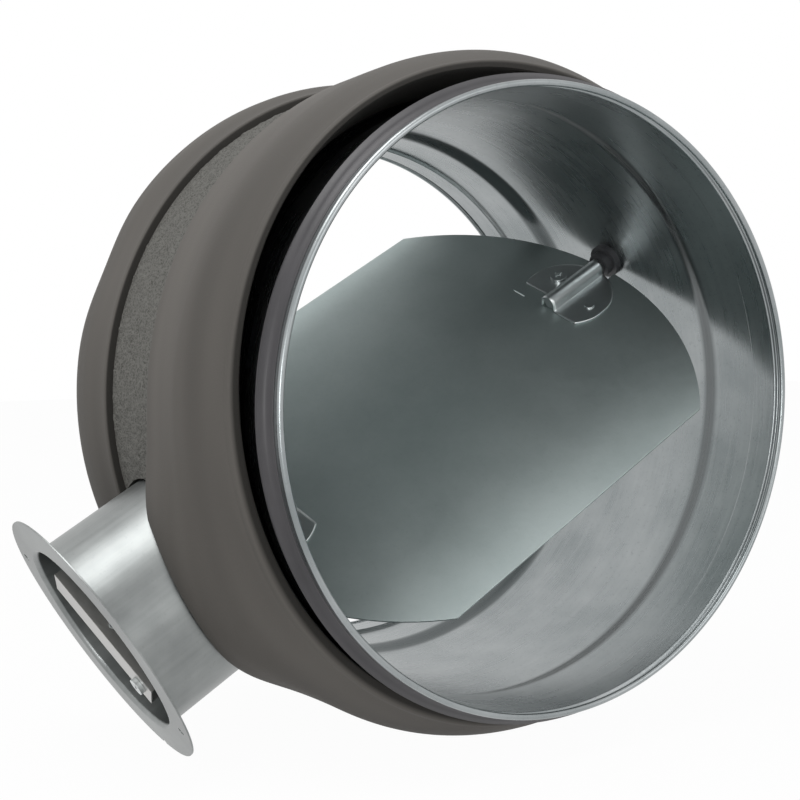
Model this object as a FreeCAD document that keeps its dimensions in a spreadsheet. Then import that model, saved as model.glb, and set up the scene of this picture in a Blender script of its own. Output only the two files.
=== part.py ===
import FreeCAD, Part
import Sketcher
import math
import os

# Insulated round volume control damper, lying as it was photographed.
# X runs along the duct axis and out of the near spigot, Z is up, and the origin is the
# centre of the near spigot's end. The damper's own frame is this frame turned about X,
# so that there the shaft is along Y and the control collar points along -Y.
# "Depth" of a piece in the collar is its distance from the duct axis.

SIZES = [
    ("spigot_radius", 156.0, "outside of the spigots, for a 315 mm duct"),
    ("sheet_wall", 0.7, "galvanised sheet of the duct body"),
    ("body_length", 230.0, "from spigot end to spigot end"),
    ("shoulder_start", 50.0, "plain length of each spigot, as far as a duct slides on"),
    ("shoulder_run", 13.0, "length of the cone from spigot to body"),
    ("body_step", 3.3, "how much larger the body's radius is than the spigot's"),
    ("hem_radius", 1.6, "rolled edge of the sheet at each end"),
    ("hem_proud", 0.2, "how far the rolled edge stands over the spigot"),
    ("groove_start", 3.5, "gasket groove from the spigot end"),
    ("groove_width", 17.5, "width of the gasket groove at its mouth"),
    ("groove_depth", 1.8, "depth of the gasket groove"),
    ("groove_slope", 1.0, "run of the groove's sloping sides"),
    ("gasket_play", 0.1, "room beside the gasket in its groove"),
    ("lip_proud", 0.4, "how far the pressed gasket lips stand over the spigot"),
    ("lip_width", 3.0, "foot of one gasket lip"),
    ("foam_play", 0.2, "gap between the foam and the sheet"),
    ("foam_thick", 20.0, "thickness of the two foam bands"),
    ("foam_recess", 4.5, "how much thinner the foam between the bands is"),
    ("foam_front", 15.0, "from spigot end to the foam's open lip"),
    ("foam_lip_rise", 8.0, "inner radius of the open lip over the spigot"),
    ("foam_lip_thick", 4.0, "thickness of the foam at its open lip"),
    ("foam_crest", 62.0, "from spigot end to the thickest foam"),
    ("channel_ahead", 30.0, "rough foam in front of the shaft"),
    ("channel_behind", 32.0, "rough foam behind the shaft"),
    ("far_foam_end", 10.0, "from the far spigot end to the far band's open lip"),
    ("far_foam_crest", 43.0, "from the far spigot end to the thickest foam"),
    ("shaft_past_middle", 10.0, "shaft axis behind the middle of the body"),
    ("shaft_radius", 4.0, "drive shaft and idle pin"),
    ("running_play", 0.05, "radial clearance of a turning fit"),
    ("blade_angle", 30.5, "blade from the duct axis as it rests"),
    ("closed_angle", 90.0, "blade from the duct axis when closed"),
    ("blade_radius", 154.0, "round ends of the blade"),
    ("blade_half_width", 121.2, "from shaft to each straight edge"),
    ("blade_thick", 1.0, "blade sheet"),
    ("bracket_radius", 28.0, "half-round bracket plate"),
    ("bracket_place", 120.5, "centre of the bracket's round from the duct axis"),
    ("bracket_foot", 103.0, "straight inner edge of the bracket"),
    ("bracket_step", 9.5, "how much shorter the bracket is on its screw side"),
    ("bracket_wall", 1.2, "bracket sheet"),
    ("channel_end", 149.0, "outer end of the bracket's channel"),
    ("channel_lean", 6.0, "lean of the channel's side walls"),
    ("screw_place", 128.0, "bracket screw from the duct axis"),
    ("screw_side", 13.5, "bracket screw beside the shaft"),
    ("screw_radius", 2.4, "bracket screw shank"),
    ("screw_head", 5.2, "bracket screw head radius"),
    ("screw_head_tall", 2.6, "bracket screw head height"),
    ("nut_flats", 8.0, "bracket nut across flats"),
    ("nut_tall", 3.2, "bracket nut height"),
    ("rivet_side", 18.0, "bracket rivet beside the shaft"),
    ("rivet_radius", 1.6, "rivet shank"),
    ("rivet_head", 3.1, "rivet head radius"),
    ("rivet_head_tall", 0.9, "rivet head height"),
    ("hole_play", 0.05, "radial room of fixed shanks in their holes"),
    ("bush_flange", 10.5, "bush flange radius at the wall"),
    ("bush_flange_tall", 4.0, "bush flange thickness"),
    ("bush_barrel", 7.5, "bush barrel radius"),
    ("bush_reach", 150.0, "inner end of the bush from the duct axis"),
    ("bush_shank", 8.0, "bush shank radius in the wall"),
    ("bush_shank_end", 164.0, "outer end of the bush shank from the duct axis"),
    ("pin_end", 160.5, "outer end of the idle pin from the duct axis"),
    ("push_ring_wide", 4.5, "width of the push-on ring"),
    ("push_ring_thick", 1.0, "thickness of the push-on ring"),
    ("locating_side", 25.0, "locating hole of the blade beside the shaft"),
    ("slit_side", 29.0, "slit of the blade beside the shaft"),
    ("blade_notch", 9.5, "half width of the blade's notch for the bush"),
    ("blade_notch_play", 2.5, "room between notch and bush end"),
    ("collar_radius", 54.6, "outside of the collar tube"),
    ("collar_wall", 0.8, "collar sheet"),
    ("collar_reach", 227.6, "collar flange face from the duct axis"),
    ("collar_flange", 73.0, "flange ring radius"),
    ("collar_bend", 1.6, "bend radius between tube and flange"),
    ("flange_hole_circle", 65.5, "flange holes from the collar axis"),
    ("flange_hole_radius", 2.1, "flange holes"),
    ("flange_hole_angle", 42.0, "flange holes from the duct axis"),
    ("flange_notch_angle", 99.0, "locating notch from the duct axis"),
    ("flange_notch_radius", 2.0, "locating notch"),
    ("saddle_width", 12.0, "collar's turned-out foot on the body"),
    ("collar_rivet_angle", 60.0, "collar rivets round the collar, from the duct axis"),
    ("foam_hole_play", 2.0, "gap round the collar in the foam"),
    ("mound_below_flange", 33.0, "top of the foam in front of the collar, under the flange's face"),
    ("mound_tilt", 32.0, "lean of the foam mound towards the near end"),
    ("mound_flare", 12.0, "slope of the foam mound beside the collar"),
    ("mound_top", 3.0, "foam round the collar at the mound's top"),
    ("dial_gap", 19.0, "dial plate under the handle's outer face"),
    ("dial_wall", 1.0, "dial plate sheet"),
    ("dial_rim", 8.0, "turned rim of the dial plate"),
    ("dial_play", 0.05, "radial play of the dial plate in the collar"),
    ("dial_bush_radius", 6.0, "shank of the dial plate's bush"),
    ("dial_bush_flange", 8.5, "flange of the dial plate's bush"),
    ("dial_bush_tall", 1.5, "flange thickness of the dial plate's bush"),
    ("dial_bush_long", 3.5, "shank length of the dial plate's bush"),
    ("handle_inset", 1.4, "handle's outer face inside the collar's mouth"),
    ("handle_length", 78.0, "handle bar"),
    ("handle_width", 22.0, "handle bar"),
    ("handle_tall", 12.0, "side walls of the handle bar"),
    ("handle_wall", 1.2, "handle sheet"),
    ("handle_lead", 24.5, "handle's angle ahead of the blade"),
    ("cross_pin_radius", 2.0, "spring pin that holds the handle on the shaft"),
    ("cross_pin_bore", 1.2, "hollow of the spring pin"),
    ("cross_pin_drop", 6.5, "cross pin under the handle's face"),
    ("shaft_end_play", 0.8, "shaft end under the handle's web"),
    ("lock_circle", 30.0, "lock screw from the shaft axis"),
    ("lock_radius", 2.5, "lock screw shank"),
    ("lock_head", 4.6, "lock screw head radius"),
    ("lock_head_tall", 2.6, "lock screw head height"),
    ("lock_over", 1.7, "lock screw end past its nut"),
    ("lock_recess", 1.3, "depth of the cross recesses"),
    ("lock_tube", 4.5, "spacer tube radius"),
    ("lock_nut_side", 9.0, "square lock nut"),
    ("lock_nut_tall", 4.0, "square lock nut"),
    ("slot_play", 0.3, "gap between moving faces at the dial plate"),
]

doc = FreeCAD.newDocument("VolumeControlDamper")
sheet = doc.addObject("Spreadsheet::Sheet", "Sizes")
for row, (alias, value, note) in enumerate(SIZES, 1):
    sheet.set(f"A{row}", note)
    sheet.set(f"B{row}", str(value))
    sheet.setAlias(f"B{row}", alias)
doc.recompute()

PARTS = []
TURN = {"x": FreeCAD.Vector(1, 0, 0), "y": FreeCAD.Vector(0, 1, 0), "z": FreeCAD.Vector(0, 0, 1)}

# Lengths that several pieces share, as formulas on the sheet
BODY_OUTSIDE = "(Sizes.spigot_radius + Sizes.body_step)"
BODY_INSIDE = "(Sizes.spigot_radius + Sizes.body_step - Sizes.sheet_wall)"
FOAM_INSIDE = "(Sizes.spigot_radius + Sizes.body_step + Sizes.foam_play)"
FOAM_OUTSIDE = "(Sizes.spigot_radius + Sizes.body_step + Sizes.foam_thick)"
CHANNEL_OUTSIDE = "(Sizes.spigot_radius + Sizes.body_step + Sizes.foam_thick - Sizes.foam_recess)"
SHAFT_PLACE = "(Sizes.body_length / 2 + Sizes.shaft_past_middle)"
NEAR_BAND_EDGE = "(Sizes.body_length / 2 + Sizes.shaft_past_middle - Sizes.channel_ahead)"
FAR_BAND_EDGE = "(Sizes.body_length / 2 + Sizes.shaft_past_middle + Sizes.channel_behind)"
BORE = "(Sizes.shaft_radius + Sizes.running_play)"
SHANK_HOLE = "(Sizes.bush_shank + Sizes.hole_play)"
COLLAR_INSIDE = "(Sizes.collar_radius - Sizes.collar_wall)"
BLADE_TOP = "(0 - Sizes.shaft_radius)"
BLADE_BACK = "(0 - Sizes.shaft_radius - Sizes.blade_thick)"
HANDLE_FACE = "(Sizes.collar_reach - Sizes.handle_inset)"
HANDLE_INSIDE = "(Sizes.collar_reach - Sizes.handle_inset - Sizes.handle_wall)"
RIVET_CIRCLE = "(Sizes.collar_radius + Sizes.saddle_width / 2)"
MOUND_TOP = "(Sizes.collar_reach - Sizes.mound_below_flange)"
DIAL_FACE = "(Sizes.collar_reach - Sizes.handle_inset - Sizes.dial_gap)"
DIAL_BACK = "(Sizes.collar_reach - Sizes.handle_inset - Sizes.dial_gap - Sizes.dial_wall)"


def size(alias):
    """Value of one cell of the sheet."""
    return float(sheet.get(alias))


def lying_tilt():
    """How far the collar dips when the damper lies on its foam and on the flange's rim."""
    ring = size("spigot_radius") + size("body_step") + size("foam_thick")
    reach = size("collar_reach")
    flange = size("collar_flange")
    return math.degrees(math.asin(ring / math.hypot(reach, flange)) - math.atan2(flange, reach))


def turned(axis, angle, base=(0, 0, 0)):
    """Placement that turns about one axis through a point of its own."""
    return FreeCAD.Placement(FreeCAD.Vector(*base), FreeCAD.Rotation(TURN[axis], angle))


CASING = turned("x", lying_tilt())
SHAFT = CASING.multiply(turned("y", 0, (-size("body_length") / 2 - size("shaft_past_middle"), 0, 0)))
BLADE = SHAFT.multiply(turned("y", size("blade_angle")))
HANDLE = SHAFT.multiply(turned("y", size("blade_angle") + size("handle_lead")))


def bind(thing, formulas):
    """Tie properties of an object to formulas on the sheet."""
    for name, formula in formulas.items():
        thing.setExpression(name, str(formula))
    return thing


def at(thing, x="0", y="0", z="0", axis=None, angle=0):
    """Turn an object about one axis, then tie its base point to three formulas."""
    if axis:
        thing.Placement = turned(axis, angle)
    bind(thing, {"Placement.Base.x": x, "Placement.Base.y": y, "Placement.Base.z": z})
    return thing


def rod(name, radius, length, x="0", y="0", z="0", along="-y", sweep=360):
    """Cylinder that starts at a point and runs along a named direction."""
    thing = doc.addObject("Part::Cylinder", name)
    thing.Angle = sweep
    bind(thing, {"Radius": radius, "Height": length})
    axis, angle = {"-y": ("x", 90), "+y": ("x", -90), "+z": ("z", 0), "-x": ("y", -90)}[along]
    return at(thing, x, y, z, axis, angle)


def block(name, length, width, height, x, y, z):
    """Box whose lowest corner is at a point."""
    thing = doc.addObject("Part::Box", name)
    bind(thing, {"Length": length, "Width": width, "Height": height})
    return at(thing, x, y, z)


def joined(name, pieces):
    """Pieces fused into one solid."""
    thing = doc.addObject("Part::MultiFuse", name)
    thing.Shapes = pieces
    thing.Refine = True
    return thing


def less(name, base, tools):
    """Base with one or more tools cut away."""
    thing = doc.addObject("Part::Cut", name)
    thing.Base = base
    thing.Tool = tools[0] if len(tools) == 1 else joined(name + "_tools", tools)
    thing.Refine = True
    return thing


def shared(name, first, second):
    """What two pieces have in common."""
    thing = doc.addObject("Part::MultiCommon", name)
    thing.Shapes = [first, second]
    return thing


def outline(body, name, role, corners):
    """Closed sketch whose corners are tied to formulas, as distances from the origin."""
    sketch = body.newObject("Sketcher::SketchObject", name)
    plane = [f for f in body.Origin.OriginFeatures if f.Role == role][0]
    sketch.AttachmentSupport = [(plane, "")]
    sketch.MapMode = "FlatFace"
    count = len(corners)
    reach = size("spigot_radius")
    angles = [2 * math.pi * i / count for i in range(count)]
    rough = [FreeCAD.Vector(reach * math.cos(angle), reach * math.sin(angle), 0) for angle in angles]
    for i in range(count):
        sketch.addGeometry(Part.LineSegment(rough[i], rough[(i + 1) % count]), False)
    for i in range(count):
        sketch.addConstraint(Sketcher.Constraint("Coincident", i, 2, (i + 1) % count, 1))
    for i, (across, up) in enumerate(corners):
        for kind, formula, start in (("DistanceX", across, rough[i].x), ("DistanceY", up, rough[i].y)):
            sketch.addConstraint(Sketcher.Constraint(kind, -1, 1, i, 1, start))
            sketch.setExpression(f"Constraints[{sketch.ConstraintCount - 1}]", formula)
    return sketch


def revolved(name, role, axis, corners):
    """Body made by turning an outline about one axis of its sketch."""
    body = doc.addObject("PartDesign::Body", name)
    sketch = outline(body, name + "_outline", role, corners)
    turn = body.newObject("PartDesign::Revolution", name + "_turn")
    turn.Profile = sketch
    turn.ReferenceAxis = (sketch, [axis])
    turn.Angle = 360
    sketch.Visibility = False
    return body


def rounded(body, name, radius, wanted):
    """Fillet on the edges of a body that a test on the edge's shape picks out."""
    doc.recompute()
    base = body.Tip
    edges = [f"Edge{i}" for i, edge in enumerate(base.Shape.Edges, 1) if wanted(edge)]
    fillet = body.newObject("PartDesign::Fillet", name)
    fillet.Base = (base, edges)
    fillet.setExpression("Radius", radius)
    body.Tip = fillet
    doc.recompute()
    return body


def is_ring(edge, radius, place, along):
    """Whether an edge is a full circle of this radius at this place along an axis."""
    curve = edge.Curve
    return (
        isinstance(curve, Part.Circle)
        and abs(curve.Radius - radius) < 0.01
        and abs(getattr(edge.CenterOfMass, along) - place) < 0.01
    )


def hand_in(thing, label, placement):
    """Give a finished piece its name and its place."""
    thing.Label = label
    thing.Placement = placement
    PARTS.append(thing)


def ring_outline(half):
    """Both ends of an outline that is the same from either spigot: near end, then far end."""
    near = [(f"0 - ({a})", r) for a, r in half]
    far = [(f"({a}) - Sizes.body_length", r) for a, r in reversed(half)]
    return near + far


# Duct body: one sheet, with a rolled edge, a gasket groove and a cone at each end
def duct_body():
    wall = "Sizes.sheet_wall"
    outer = "Sizes.spigot_radius"
    floor = "Sizes.spigot_radius - Sizes.groove_depth"
    groove_in = "Sizes.groove_start + Sizes.groove_slope"
    groove_out = "Sizes.groove_start + Sizes.groove_width - Sizes.groove_slope"
    outside = [
        ("0", outer),
        ("Sizes.groove_start", outer),
        (groove_in, floor),
        (groove_out, floor),
        ("Sizes.groove_start + Sizes.groove_width", outer),
        ("Sizes.shoulder_start", outer),
        ("Sizes.shoulder_start + Sizes.shoulder_run", BODY_OUTSIDE),
    ]
    inside = [
        ("0", f"{outer} - {wall}"),
        (f"Sizes.groove_start - {wall} / 2", f"{outer} - {wall}"),
        (f"{groove_in} - {wall} / 2", f"{floor} - {wall}"),
        (f"{groove_out} + {wall} / 2", f"{floor} - {wall}"),
        (f"Sizes.groove_start + Sizes.groove_width + {wall} / 2", f"{outer} - {wall}"),
        ("Sizes.shoulder_start", f"{outer} - {wall}"),
        ("Sizes.shoulder_start + Sizes.shoulder_run", BODY_INSIDE),
    ]
    corners = ring_outline(outside) + list(reversed(ring_outline(inside)))
    shell = revolved("duct_shell", "XY_Plane", "H_Axis", corners)
    middle = f"{outer} + Sizes.hem_proud - Sizes.hem_radius"
    hems = []
    for end, place in (("near", "0"), ("far", "0 - Sizes.body_length")):
        hems.append(revolved(f"{end}_hem", "XY_Plane", "H_Axis", [
            (f"{place} + Sizes.hem_radius * cos({turn} deg)", f"{middle} + Sizes.hem_radius * sin({turn} deg)")
            for turn in range(0, 360, 45)
        ]))
    sheet_metal = joined("duct_with_hems", [shell] + hems)
    holes = [
        rod(f"{side}_bush_hole", SHANK_HOLE, "Sizes.bush_shank_end", f"0 - {SHAFT_PLACE}", "0", "0", way)
        for side, way in (("front", "-y"), ("rear", "+y"))
    ]
    holes += [rivet_rod(i, f"rivet_hole_{i}", "Sizes.rivet_radius + Sizes.hole_play", "0", "Sizes.bush_shank_end")
              for i in range(4)]
    hand_in(less("duct_body_shape", sheet_metal, holes), "duct_body", CASING)


def rivet_rod(index, name, radius, start, end):
    """Rod along one of the four collar rivets, from one distance off the duct axis to another."""
    side_angle = f"asin({RIVET_CIRCLE} * sin(Sizes.collar_rivet_angle) / {BODY_OUTSIDE})"
    turn = [f"({side_angle})", f"(0 deg - {side_angle})"][index % 2]
    thing = doc.addObject("Part::Cylinder", name)
    bind(thing, {"Radius": radius, "Height": f"({end}) - ({start})"})
    thing.Placement = turned("x", 90)
    bind(thing, {
        "Placement.Base.x": f"{rivet_x(index)} - {SHAFT_PLACE}",
        "Placement.Base.y": f"0 - ({start}) * cos({turn})",
        "Placement.Base.z": f"0 - ({start}) * sin({turn})",
        "Placement.Rotation.Angle": f"90 deg + {turn}",
    })
    return thing


# Gaskets: rubber rings that fill their grooves, with two lips that an inserted duct presses nearly flat
def gaskets():
    base = "Sizes.spigot_radius - Sizes.groove_depth + Sizes.hole_play"
    web = "Sizes.spigot_radius"
    tip = "Sizes.spigot_radius + Sizes.lip_proud"
    start = "Sizes.groove_start + Sizes.groove_slope + Sizes.gasket_play"
    end = "Sizes.groove_start + Sizes.groove_width - Sizes.groove_slope - Sizes.gasket_play"
    third = f"(Sizes.groove_width - 2 * Sizes.groove_slope) / 3"
    for end_name, sign, origin in (("near", "0 -", "0"), ("far", "", "Sizes.body_length")):
        places = [start]
        radii = [web]
        for lip in (1, 2):
            foot = f"{start} + {lip} * {third} - Sizes.lip_width / 2"
            places += [foot, f"{foot} + Sizes.lip_width * 0.8", f"{foot} + Sizes.lip_width"]
            radii += [web, tip, web]
        places += [end, end, start]
        radii += [web, base, base]
        corners = [(f"{sign} ({a}) - {origin}" if end_name == "far" else f"{sign} ({a})", r)
                   for a, r in zip(places, radii)]
        ring = revolved(f"{end_name}_gasket_shape", "XY_Plane", "H_Axis", corners)
        hand_in(ring, f"{end_name}_gasket", CASING)


def collar_hole(name, play):
    """Room for the collar tube, its foot and the heads of its rivets in the foam."""
    tube = rod(name + "_tube", f"Sizes.collar_radius + {play}", "Sizes.collar_reach",
               f"0 - {SHAFT_PLACE}")
    foot = rod(name + "_foot", "Sizes.collar_radius + Sizes.saddle_width + Sizes.rivet_head_tall",
               "Sizes.collar_reach", f"0 - {SHAFT_PLACE}")
    skin = rod(name + "_skin", f"{FOAM_INSIDE} + Sizes.collar_wall + Sizes.rivet_head_tall",
               "Sizes.body_length", along="-x")
    return [tube, shared(name + "_seat", foot, skin)]


# Foam: a smooth band at each end, and thinner rough foam between them
def foam_profile(sign, origin, front, crest):
    """Foam from its crest out to the open lip and back in to the body's cone."""
    lip = "Sizes.spigot_radius + Sizes.foam_lip_rise"
    points = [
        (crest, FOAM_OUTSIDE),
        (f"{crest} * 0.55 + {front} * 0.45", f"{FOAM_OUTSIDE} - Sizes.foam_thick * 0.14"),
        (f"{front} + Sizes.foam_lip_thick", f"{lip} + Sizes.foam_lip_thick * 1.5"),
        (front, f"{lip} + Sizes.foam_lip_thick"),
        (front, lip),
        ("Sizes.shoulder_start + Sizes.shoulder_run", FOAM_INSIDE),
    ]
    return [(f"{sign} ({a}) {origin}", r) for a, r in points]


def foam_mound():
    """Foam that stands up the collar's near side: steep beside it, a long slope in front of it."""
    foot_depth = "Sizes.spigot_radius * 0.95"
    rise = f"({MOUND_TOP} - {foot_depth})"
    over = "Sizes.collar_radius * tan(Sizes.mound_tilt)"
    hill = doc.addObject("Part::Cone", "mound_hill")
    hill.Placement = turned("z", -size("mound_tilt")).multiply(turned("x", 90))
    bind(hill, {
        "Radius1": f"Sizes.collar_radius + Sizes.mound_top + {rise} * tan(Sizes.mound_flare)",
        "Radius2": f"Sizes.collar_radius + Sizes.mound_top - {over} * tan(Sizes.mound_flare)",
        "Height": f"{rise} / cos(Sizes.mound_tilt) + {over}",
        "Placement.Base.x": f"{rise} * tan(Sizes.mound_tilt) - {SHAFT_PLACE}",
        "Placement.Base.y": f"0 - {foot_depth}",
    })
    body = doc.addObject("PartDesign::Body", "mound_slope")
    far = f"0 - {NEAR_BAND_EDGE}"
    crown = f"Sizes.collar_radius - {SHAFT_PLACE}"
    near = "0 - Sizes.foam_front"
    part_way = f"({MOUND_TOP} - {FOAM_OUTSIDE}) * Sizes.channel_ahead / Sizes.collar_radius"
    side = outline(body, "mound_slope_outline", "XY_Plane", [
        (far, f"0 - {foot_depth} * 0.5"),
        (far, f"0 - {FOAM_OUTSIDE} - {part_way}"),
        (crown, f"0 - {MOUND_TOP}"),
        (near, f"0 - {MOUND_TOP}"),
        (near, f"0 - {foot_depth} * 0.5"),
    ])
    pad = body.newObject("PartDesign::Pad", "mound_slope_pad")
    pad.Profile = side
    pad.Midplane = True
    pad.setExpression("Length", "4 * Sizes.collar_radius")
    side.Visibility = False
    bore = rod("mound_bore", f"{FOAM_INSIDE} + Sizes.foam_play", "Sizes.body_length", along="-x")
    return less("mound_trimmed", shared("mound_blank", hill, body), [bore])


def foam():
    near = foam_profile("0 -", "", "Sizes.foam_front", "Sizes.foam_crest")
    near += [(f"0 - {NEAR_BAND_EDGE}", FOAM_INSIDE), (f"0 - {NEAR_BAND_EDGE}", FOAM_OUTSIDE)]
    band = revolved("near_foam_ring", "XY_Plane", "H_Axis", near)
    raised = joined("near_foam_raised", [band, foam_mound()])
    hole = collar_hole("near_foam_hole", "Sizes.foam_hole_play")
    hand_in(less("near_foam_shape", raised, hole), "near_foam_band", CASING)

    far = foam_profile("", "- Sizes.body_length", "Sizes.far_foam_end", "Sizes.far_foam_crest")
    far += [(f"0 - {FAR_BAND_EDGE}", FOAM_INSIDE), (f"0 - {FAR_BAND_EDGE}", FOAM_OUTSIDE)]
    band = revolved("far_foam_ring", "XY_Plane", "H_Axis", far)
    hole = collar_hole("far_foam_hole", "Sizes.foam_hole_play")
    hand_in(less("far_foam_shape", band, hole), "far_foam_band", CASING)

    whole = channel_ring("channel_foam_ring", NEAR_BAND_EDGE, FAR_BAND_EDGE)
    hole = collar_hole("channel_foam_hole", "Sizes.foam_hole_play")
    hole.append(rod("rear_bush_room", "Sizes.bush_shank + Sizes.push_ring_wide + Sizes.push_ring_thick",
                    "Sizes.bush_shank_end + Sizes.push_ring_thick", f"0 - {SHAFT_PLACE}", along="+y"))
    hand_in(less("channel_foam_shape", whole, hole), "channel_foam", CASING)


def channel_ring(name, start, end):
    """Plain ring of the thinner foam between two distances from the near end."""
    return revolved(name, "XY_Plane", "H_Axis", [
        (f"0 - ({start})", FOAM_INSIDE),
        (f"0 - ({start})", CHANNEL_OUTSIDE),
        (f"0 - ({end})", CHANNEL_OUTSIDE),
        (f"0 - ({end})", FOAM_INSIDE),
    ])


# Collar: a flanged tube with a foot bent out to fit the round body
def collar():
    face = "0 - Sizes.collar_reach"
    back = "Sizes.collar_wall - Sizes.collar_reach"
    tube = revolved("collar_tube", "XY_Plane", "V_Axis", [
        (COLLAR_INSIDE, "0"),
        ("Sizes.collar_radius", "0"),
        ("Sizes.collar_radius", back),
        ("Sizes.collar_flange", back),
        ("Sizes.collar_flange", face),
        (COLLAR_INSIDE, face),
    ])
    outer, wall, reach = size("collar_radius"), size("collar_wall"), size("collar_reach")
    rounded(tube, "collar_bend_outside", "Sizes.collar_bend",
            lambda edge: is_ring(edge, outer, wall - reach, "y"))
    rounded(tube, "collar_bend_inside", "Sizes.collar_bend + Sizes.collar_wall * 0.9",
            lambda edge: is_ring(edge, outer - wall, -reach, "y"))
    moved = doc.addObject("Part::MultiFuse", "collar_tube_in_place")
    foot_blank = rod("collar_foot_blank", "Sizes.collar_radius + Sizes.saddle_width", "Sizes.collar_reach")
    cones = "Sizes.shoulder_start + Sizes.shoulder_run"
    foot_skin = rod("collar_foot_skin", f"{BODY_OUTSIDE} + Sizes.collar_wall",
                    f"Sizes.body_length - 2 * ({cones})", f"{SHAFT_PLACE} - ({cones})", along="-x")
    foot = less("collar_foot", shared("collar_foot_slab", foot_blank, foot_skin),
                [rod("collar_foot_bore", COLLAR_INSIDE, "Sizes.collar_reach")])
    moved.Shapes = [tube, foot]
    core = revolved("collar_core", "XY_Plane", "H_Axis", ring_outline([
        ("Sizes.shoulder_start", "0"),
        ("Sizes.shoulder_start", "Sizes.spigot_radius"),
        (cones, BODY_OUTSIDE),
    ]))
    bind(core, {"Placement.Base.x": SHAFT_PLACE})
    holes = []
    for i, side in enumerate(("", "0 -")):
        holes.append(rod(f"flange_hole_{i}", "Sizes.flange_hole_radius", "4 * Sizes.collar_wall",
                         f"{side} Sizes.flange_hole_circle * cos(Sizes.flange_hole_angle)",
                         "2 * Sizes.collar_wall - Sizes.collar_reach",
                         f"0 - ({side} Sizes.flange_hole_circle * sin(Sizes.flange_hole_angle))"))
    holes.append(rod("flange_notch", "Sizes.flange_notch_radius", "4 * Sizes.collar_wall",
                     "Sizes.collar_flange * cos(Sizes.flange_notch_angle)",
                     "2 * Sizes.collar_wall - Sizes.collar_reach",
                     "0 - Sizes.collar_flange * sin(Sizes.flange_notch_angle)"))
    body = less("collar_trimmed", moved, [core] + holes)
    rivets = [rivet_rod(i, f"collar_rivet_hole_{i}", "Sizes.rivet_radius + Sizes.hole_play", "0",
                        f"{BODY_OUTSIDE} + 4 * Sizes.collar_wall") for i in range(4)]
    for i, hole in enumerate(rivets):
        hole.setExpression("Placement.Base.x", rivet_x(i))
    hand_in(less("collar_shape", body, rivets), "collar", SHAFT)


def rivet_x(index):
    """Rivet place along the duct, counted from the shaft."""
    side = "" if index < 2 else "0 -"
    return f"{side} {RIVET_CIRCLE} * cos(Sizes.collar_rivet_angle)"


# Collar rivets: shank through foot and body, a head on each side
def collar_rivets():
    rivets = []
    for i in range(4):
        shank = rivet_rod(i, f"rivet_shank_{i}", "Sizes.rivet_radius",
                          f"{BODY_INSIDE} - Sizes.rivet_head_tall", f"{BODY_OUTSIDE} + Sizes.collar_wall")
        head = rivet_rod(i, f"rivet_head_{i}", "Sizes.rivet_head", f"{BODY_OUTSIDE} + Sizes.collar_wall",
                         f"{BODY_OUTSIDE} + Sizes.collar_wall + Sizes.rivet_head_tall")
        tail = rivet_rod(i, f"rivet_tail_{i}", "Sizes.rivet_head * 0.8",
                         f"{BODY_INSIDE} - Sizes.rivet_head_tall", f"{BODY_INSIDE} - Sizes.hole_play")
        rivets.append(joined(f"rivet_{i}", [shank, head, tail]))
    group = doc.addObject("Part::Compound", "collar_rivets_shape")
    group.Links = rivets
    hand_in(group, "collar_rivets", CASING)


# Bushes: plastic, with a flange bedded on the round wall inside and a shank through it
def bushes():
    for side, way, sign in (("front", "-y", "0 -"), ("rear", "+y", "")):
        flange_start = f"{BODY_INSIDE} - Sizes.bush_flange_tall"
        blank = rod(f"{side}_bush_flange", "Sizes.bush_flange", "2 * Sizes.bush_flange_tall", "0",
                    f"{sign} ({flange_start})", "0", way)
        room = rod(f"{side}_bush_room", BODY_INSIDE, "4 * Sizes.bush_flange", "2 * Sizes.bush_flange",
                   "0", "0", "-x")
        barrel = rod(f"{side}_bush_barrel", "Sizes.bush_barrel",
                     f"{flange_start} + Sizes.bush_flange_tall / 2 - Sizes.bush_reach", "0",
                     f"{sign} Sizes.bush_reach", "0", way)
        shank = rod(f"{side}_bush_shank", "Sizes.bush_shank", f"Sizes.bush_shank_end - ({flange_start})",
                    "0", f"{sign} ({flange_start})", "0", way)
        whole = joined(f"{side}_bush_solid", [shared(f"{side}_bush_seat", blank, room), barrel, shank])
        depth = "Sizes.bush_shank_end" if side == "front" else "Sizes.pin_end + Sizes.blade_thick"
        bore = rod(f"{side}_bush_bore", BORE, f"{depth} - Sizes.bush_reach + 1", "0",
                   f"{sign} (Sizes.bush_reach - 1)", "0", way)
        hand_in(less(f"{side}_bush_shape", whole, [bore]), f"{side}_bush", SHAFT)

        ring_start = f"{BODY_OUTSIDE}"
        blank = rod(f"{side}_ring_blank", "Sizes.bush_shank + Sizes.push_ring_wide", "Sizes.push_ring_thick",
                    "0", f"{sign} {ring_start}", "0", way)
        hole = rod(f"{side}_ring_hole", SHANK_HOLE, "3 * Sizes.push_ring_thick", "0",
                   f"{sign} ({ring_start} - Sizes.push_ring_thick)", "0", way)
        hand_in(less(f"{side}_ring_shape", blank, [hole]), f"{side}_bush_ring", SHAFT)


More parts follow.
